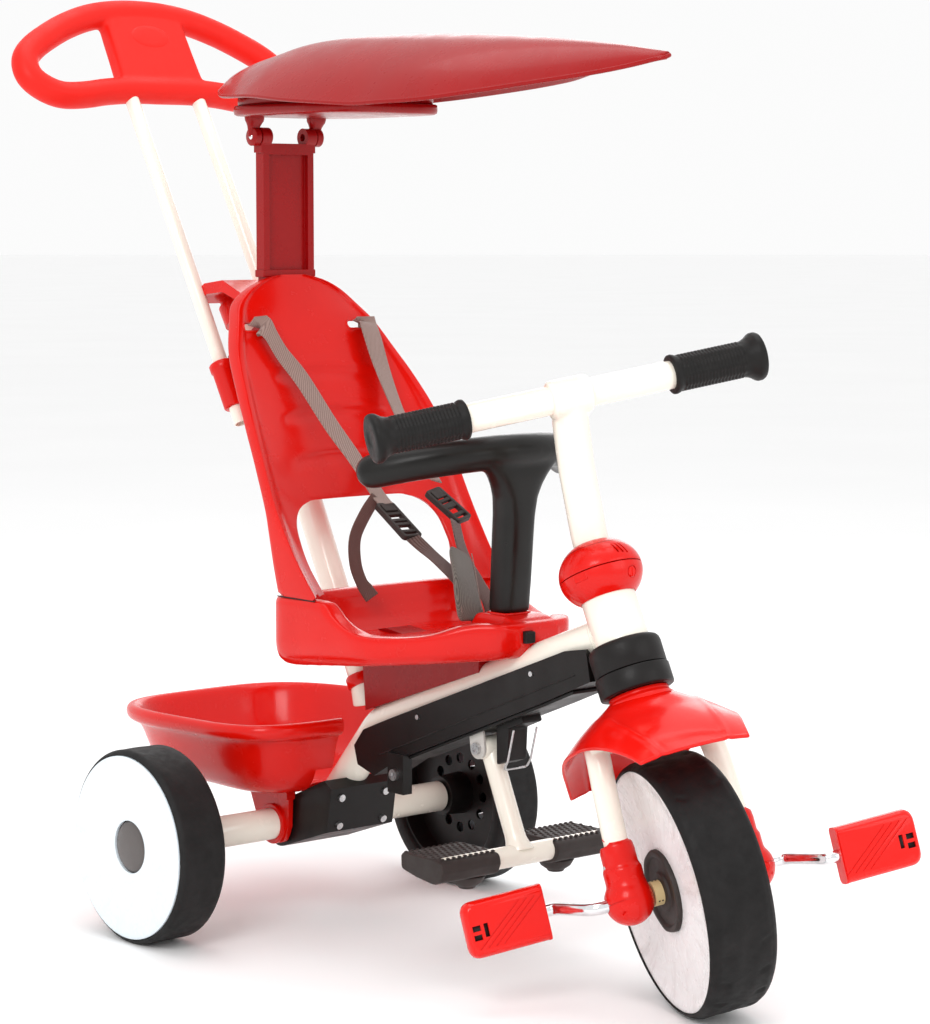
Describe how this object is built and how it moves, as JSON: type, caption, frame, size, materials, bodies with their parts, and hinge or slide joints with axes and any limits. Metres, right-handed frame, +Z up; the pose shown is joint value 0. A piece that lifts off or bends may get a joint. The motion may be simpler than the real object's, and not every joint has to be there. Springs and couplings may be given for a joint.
{
  "type": "children's tricycle",
  "caption": "Child's tricycle with parent push handle, sun canopy, guard bar, fold-back footrest, rear load basket, pedals on the front wheel and closed disc wheels",
  "frame": {"origin": "on the ground under the middle of the overall box, which is about 192 mm in front of the rear axle", "axes": "+X is the rider's left, -Y is the front of the tricycle, +Z is up; the handlebar rests turned 24.55 degrees to the rider's right as built, so straight ahead is steer = +24.55 degrees"},
  "size_m": [0.494, 1.0682, 1.0075],
  "materials": {
    "cream_paint": "gloss",
    "black_plastic": "satin",
    "steel": "satin",
    "chrome": "polished",
    "gloss_red": "gloss",
    "deep_red": "gloss",
    "soft_red": "soft matte",
    "tyre": "matte",
    "grip_rubber": "matte",
    "pad_plastic": "matte",
    "white_disc": "gloss",
    "hub_grey": "satin",
    "beige_nylon": "satin",
    "webbing": "woven"
  },
  "bodies": {
    "frame": {"main_tube": "cream_paint", "head_tube": "cream_paint", "headset_cup": "black_plastic", "seat_column": "cream_paint", "channel_cover": "black_plastic", "frame_screws": "steel", "axle_clamp": "black_plastic", "axle_tube": "cream_paint", "axle_rod": "steel", "axle_bushes": "black_plastic", "basket": "gloss_red", "basket_brackets": "gloss_red", "seat_fin": "deep_red", "seat_pan": "gloss_red", "guard_socket": "gloss_red", "backrest": "gloss_red", "back_bracket": "deep_red", "handle_sleeves": "gloss_red", "handle_brace": "gloss_red", "canopy_post": "deep_red", "footrest_ears": "steel", "footrest_pin": "steel", "footrest_block": "black_plastic", "shell_lower": "gloss_red", "harness_shoulder": "webbing", "harness_waist": "webbing", "harness_buckles": "black_plastic"},
    "steering": {"fork": "cream_paint", "headset_ring": "black_plastic", "fender": "gloss_red", "shell_upper": "gloss_red", "stem": "cream_paint", "handlebar": "cream_paint", "grips": "grip_rubber", "fork_covers": "gloss_red"},
    "front_wheel": {"front_tyre": "tyre", "front_discs": "white_disc", "front_hub": "black_plastic", "clutch_sleeves": "beige_nylon", "crankshaft": "chrome"},
    "right_pedal": {"pedal_right": "gloss_red"},
    "left_pedal": {"pedal_left": "gloss_red"},
    "rear_wheel_right": {"rear_tyre_right": "tyre", "rear_rim_right": "black_plastic", "rear_disc_right": "white_disc", "hub_cap_right": "hub_grey"},
    "rear_wheel_left": {"rear_tyre_left": "tyre", "rear_rim_left": "black_plastic", "rear_disc_left": "white_disc", "hub_cap_left": "hub_grey"},
    "footrest": {"footrest_bar": "cream_paint", "foot_pads": "pad_plastic"},
    "canopy": {"canopy_shell": "deep_red", "canopy_frame": "deep_red", "canopy_arms": "deep_red"},
    "push_handle": {"push_tubes": "cream_paint", "push_grip": "soft_red"},
    "guard_bar": {"guard": "black_plastic"},
    "button": {"release_button": "black_plastic"}
  },
  "joints": [
    {"name": "steer", "type": "hinge", "parent": "frame", "child": "steering", "pos_m": [0, -0.2958, 0.36102], "axis": [0, 0.4368, 0.8996], "range_deg": [-15, 65]},
    {"name": "front_wheel_spin", "type": "hinge", "parent": "steering", "child": "front_wheel", "pos_m": [0.00939, -0.38651, 0.12715], "axis": [0.9096, -0.3738, 0.1815], "continuous": true},
    {"name": "right_pedal_spin", "type": "hinge", "parent": "front_wheel", "child": "right_pedal", "pos_m": [-0.12311, -0.26981, 0.08933], "axis": [0.9096, -0.3738, 0.1815], "continuous": true},
    {"name": "left_pedal_spin", "type": "hinge", "parent": "front_wheel", "child": "left_pedal", "pos_m": [0.14189, -0.50321, 0.16497], "axis": [0.9096, -0.3738, 0.1815], "continuous": true},
    {"name": "rear_wheel_right_spin", "type": "hinge", "parent": "frame", "child": "rear_wheel_right", "pos_m": [-0.215, 0.1918, 0.1025], "axis": [1, 0, 0], "continuous": true},
    {"name": "rear_wheel_left_spin", "type": "hinge", "parent": "frame", "child": "rear_wheel_left", "pos_m": [0.215, 0.1918, 0.1025], "axis": [1, 0, 0], "continuous": true},
    {"name": "footrest_fold", "type": "hinge", "parent": "frame", "child": "footrest", "pos_m": [0, -0.1062, 0.222], "axis": [1, 0, 0], "range_deg": [0, 60]},
    {"name": "canopy_tilt", "type": "hinge", "parent": "frame", "child": "canopy", "pos_m": [0, 0.2338, 0.845], "axis": [1, 0, 0], "range_deg": [-15, 25]},
    {"name": "handle_height", "type": "slide", "parent": "frame", "child": "push_handle", "axis": [0, 0.5, 0.866], "range_m": [-0.1, 0]},
    {"name": "guard_lift", "type": "slide", "parent": "frame", "child": "guard_bar", "axis": [0, 0, 1], "range_m": [0, 0.035]},
    {"name": "button_press", "type": "slide", "parent": "frame", "child": "button", "axis": [0, 1, 0], "range_m": [0, 0.003], "stiffness_N_per_m": 200}
  ]
}
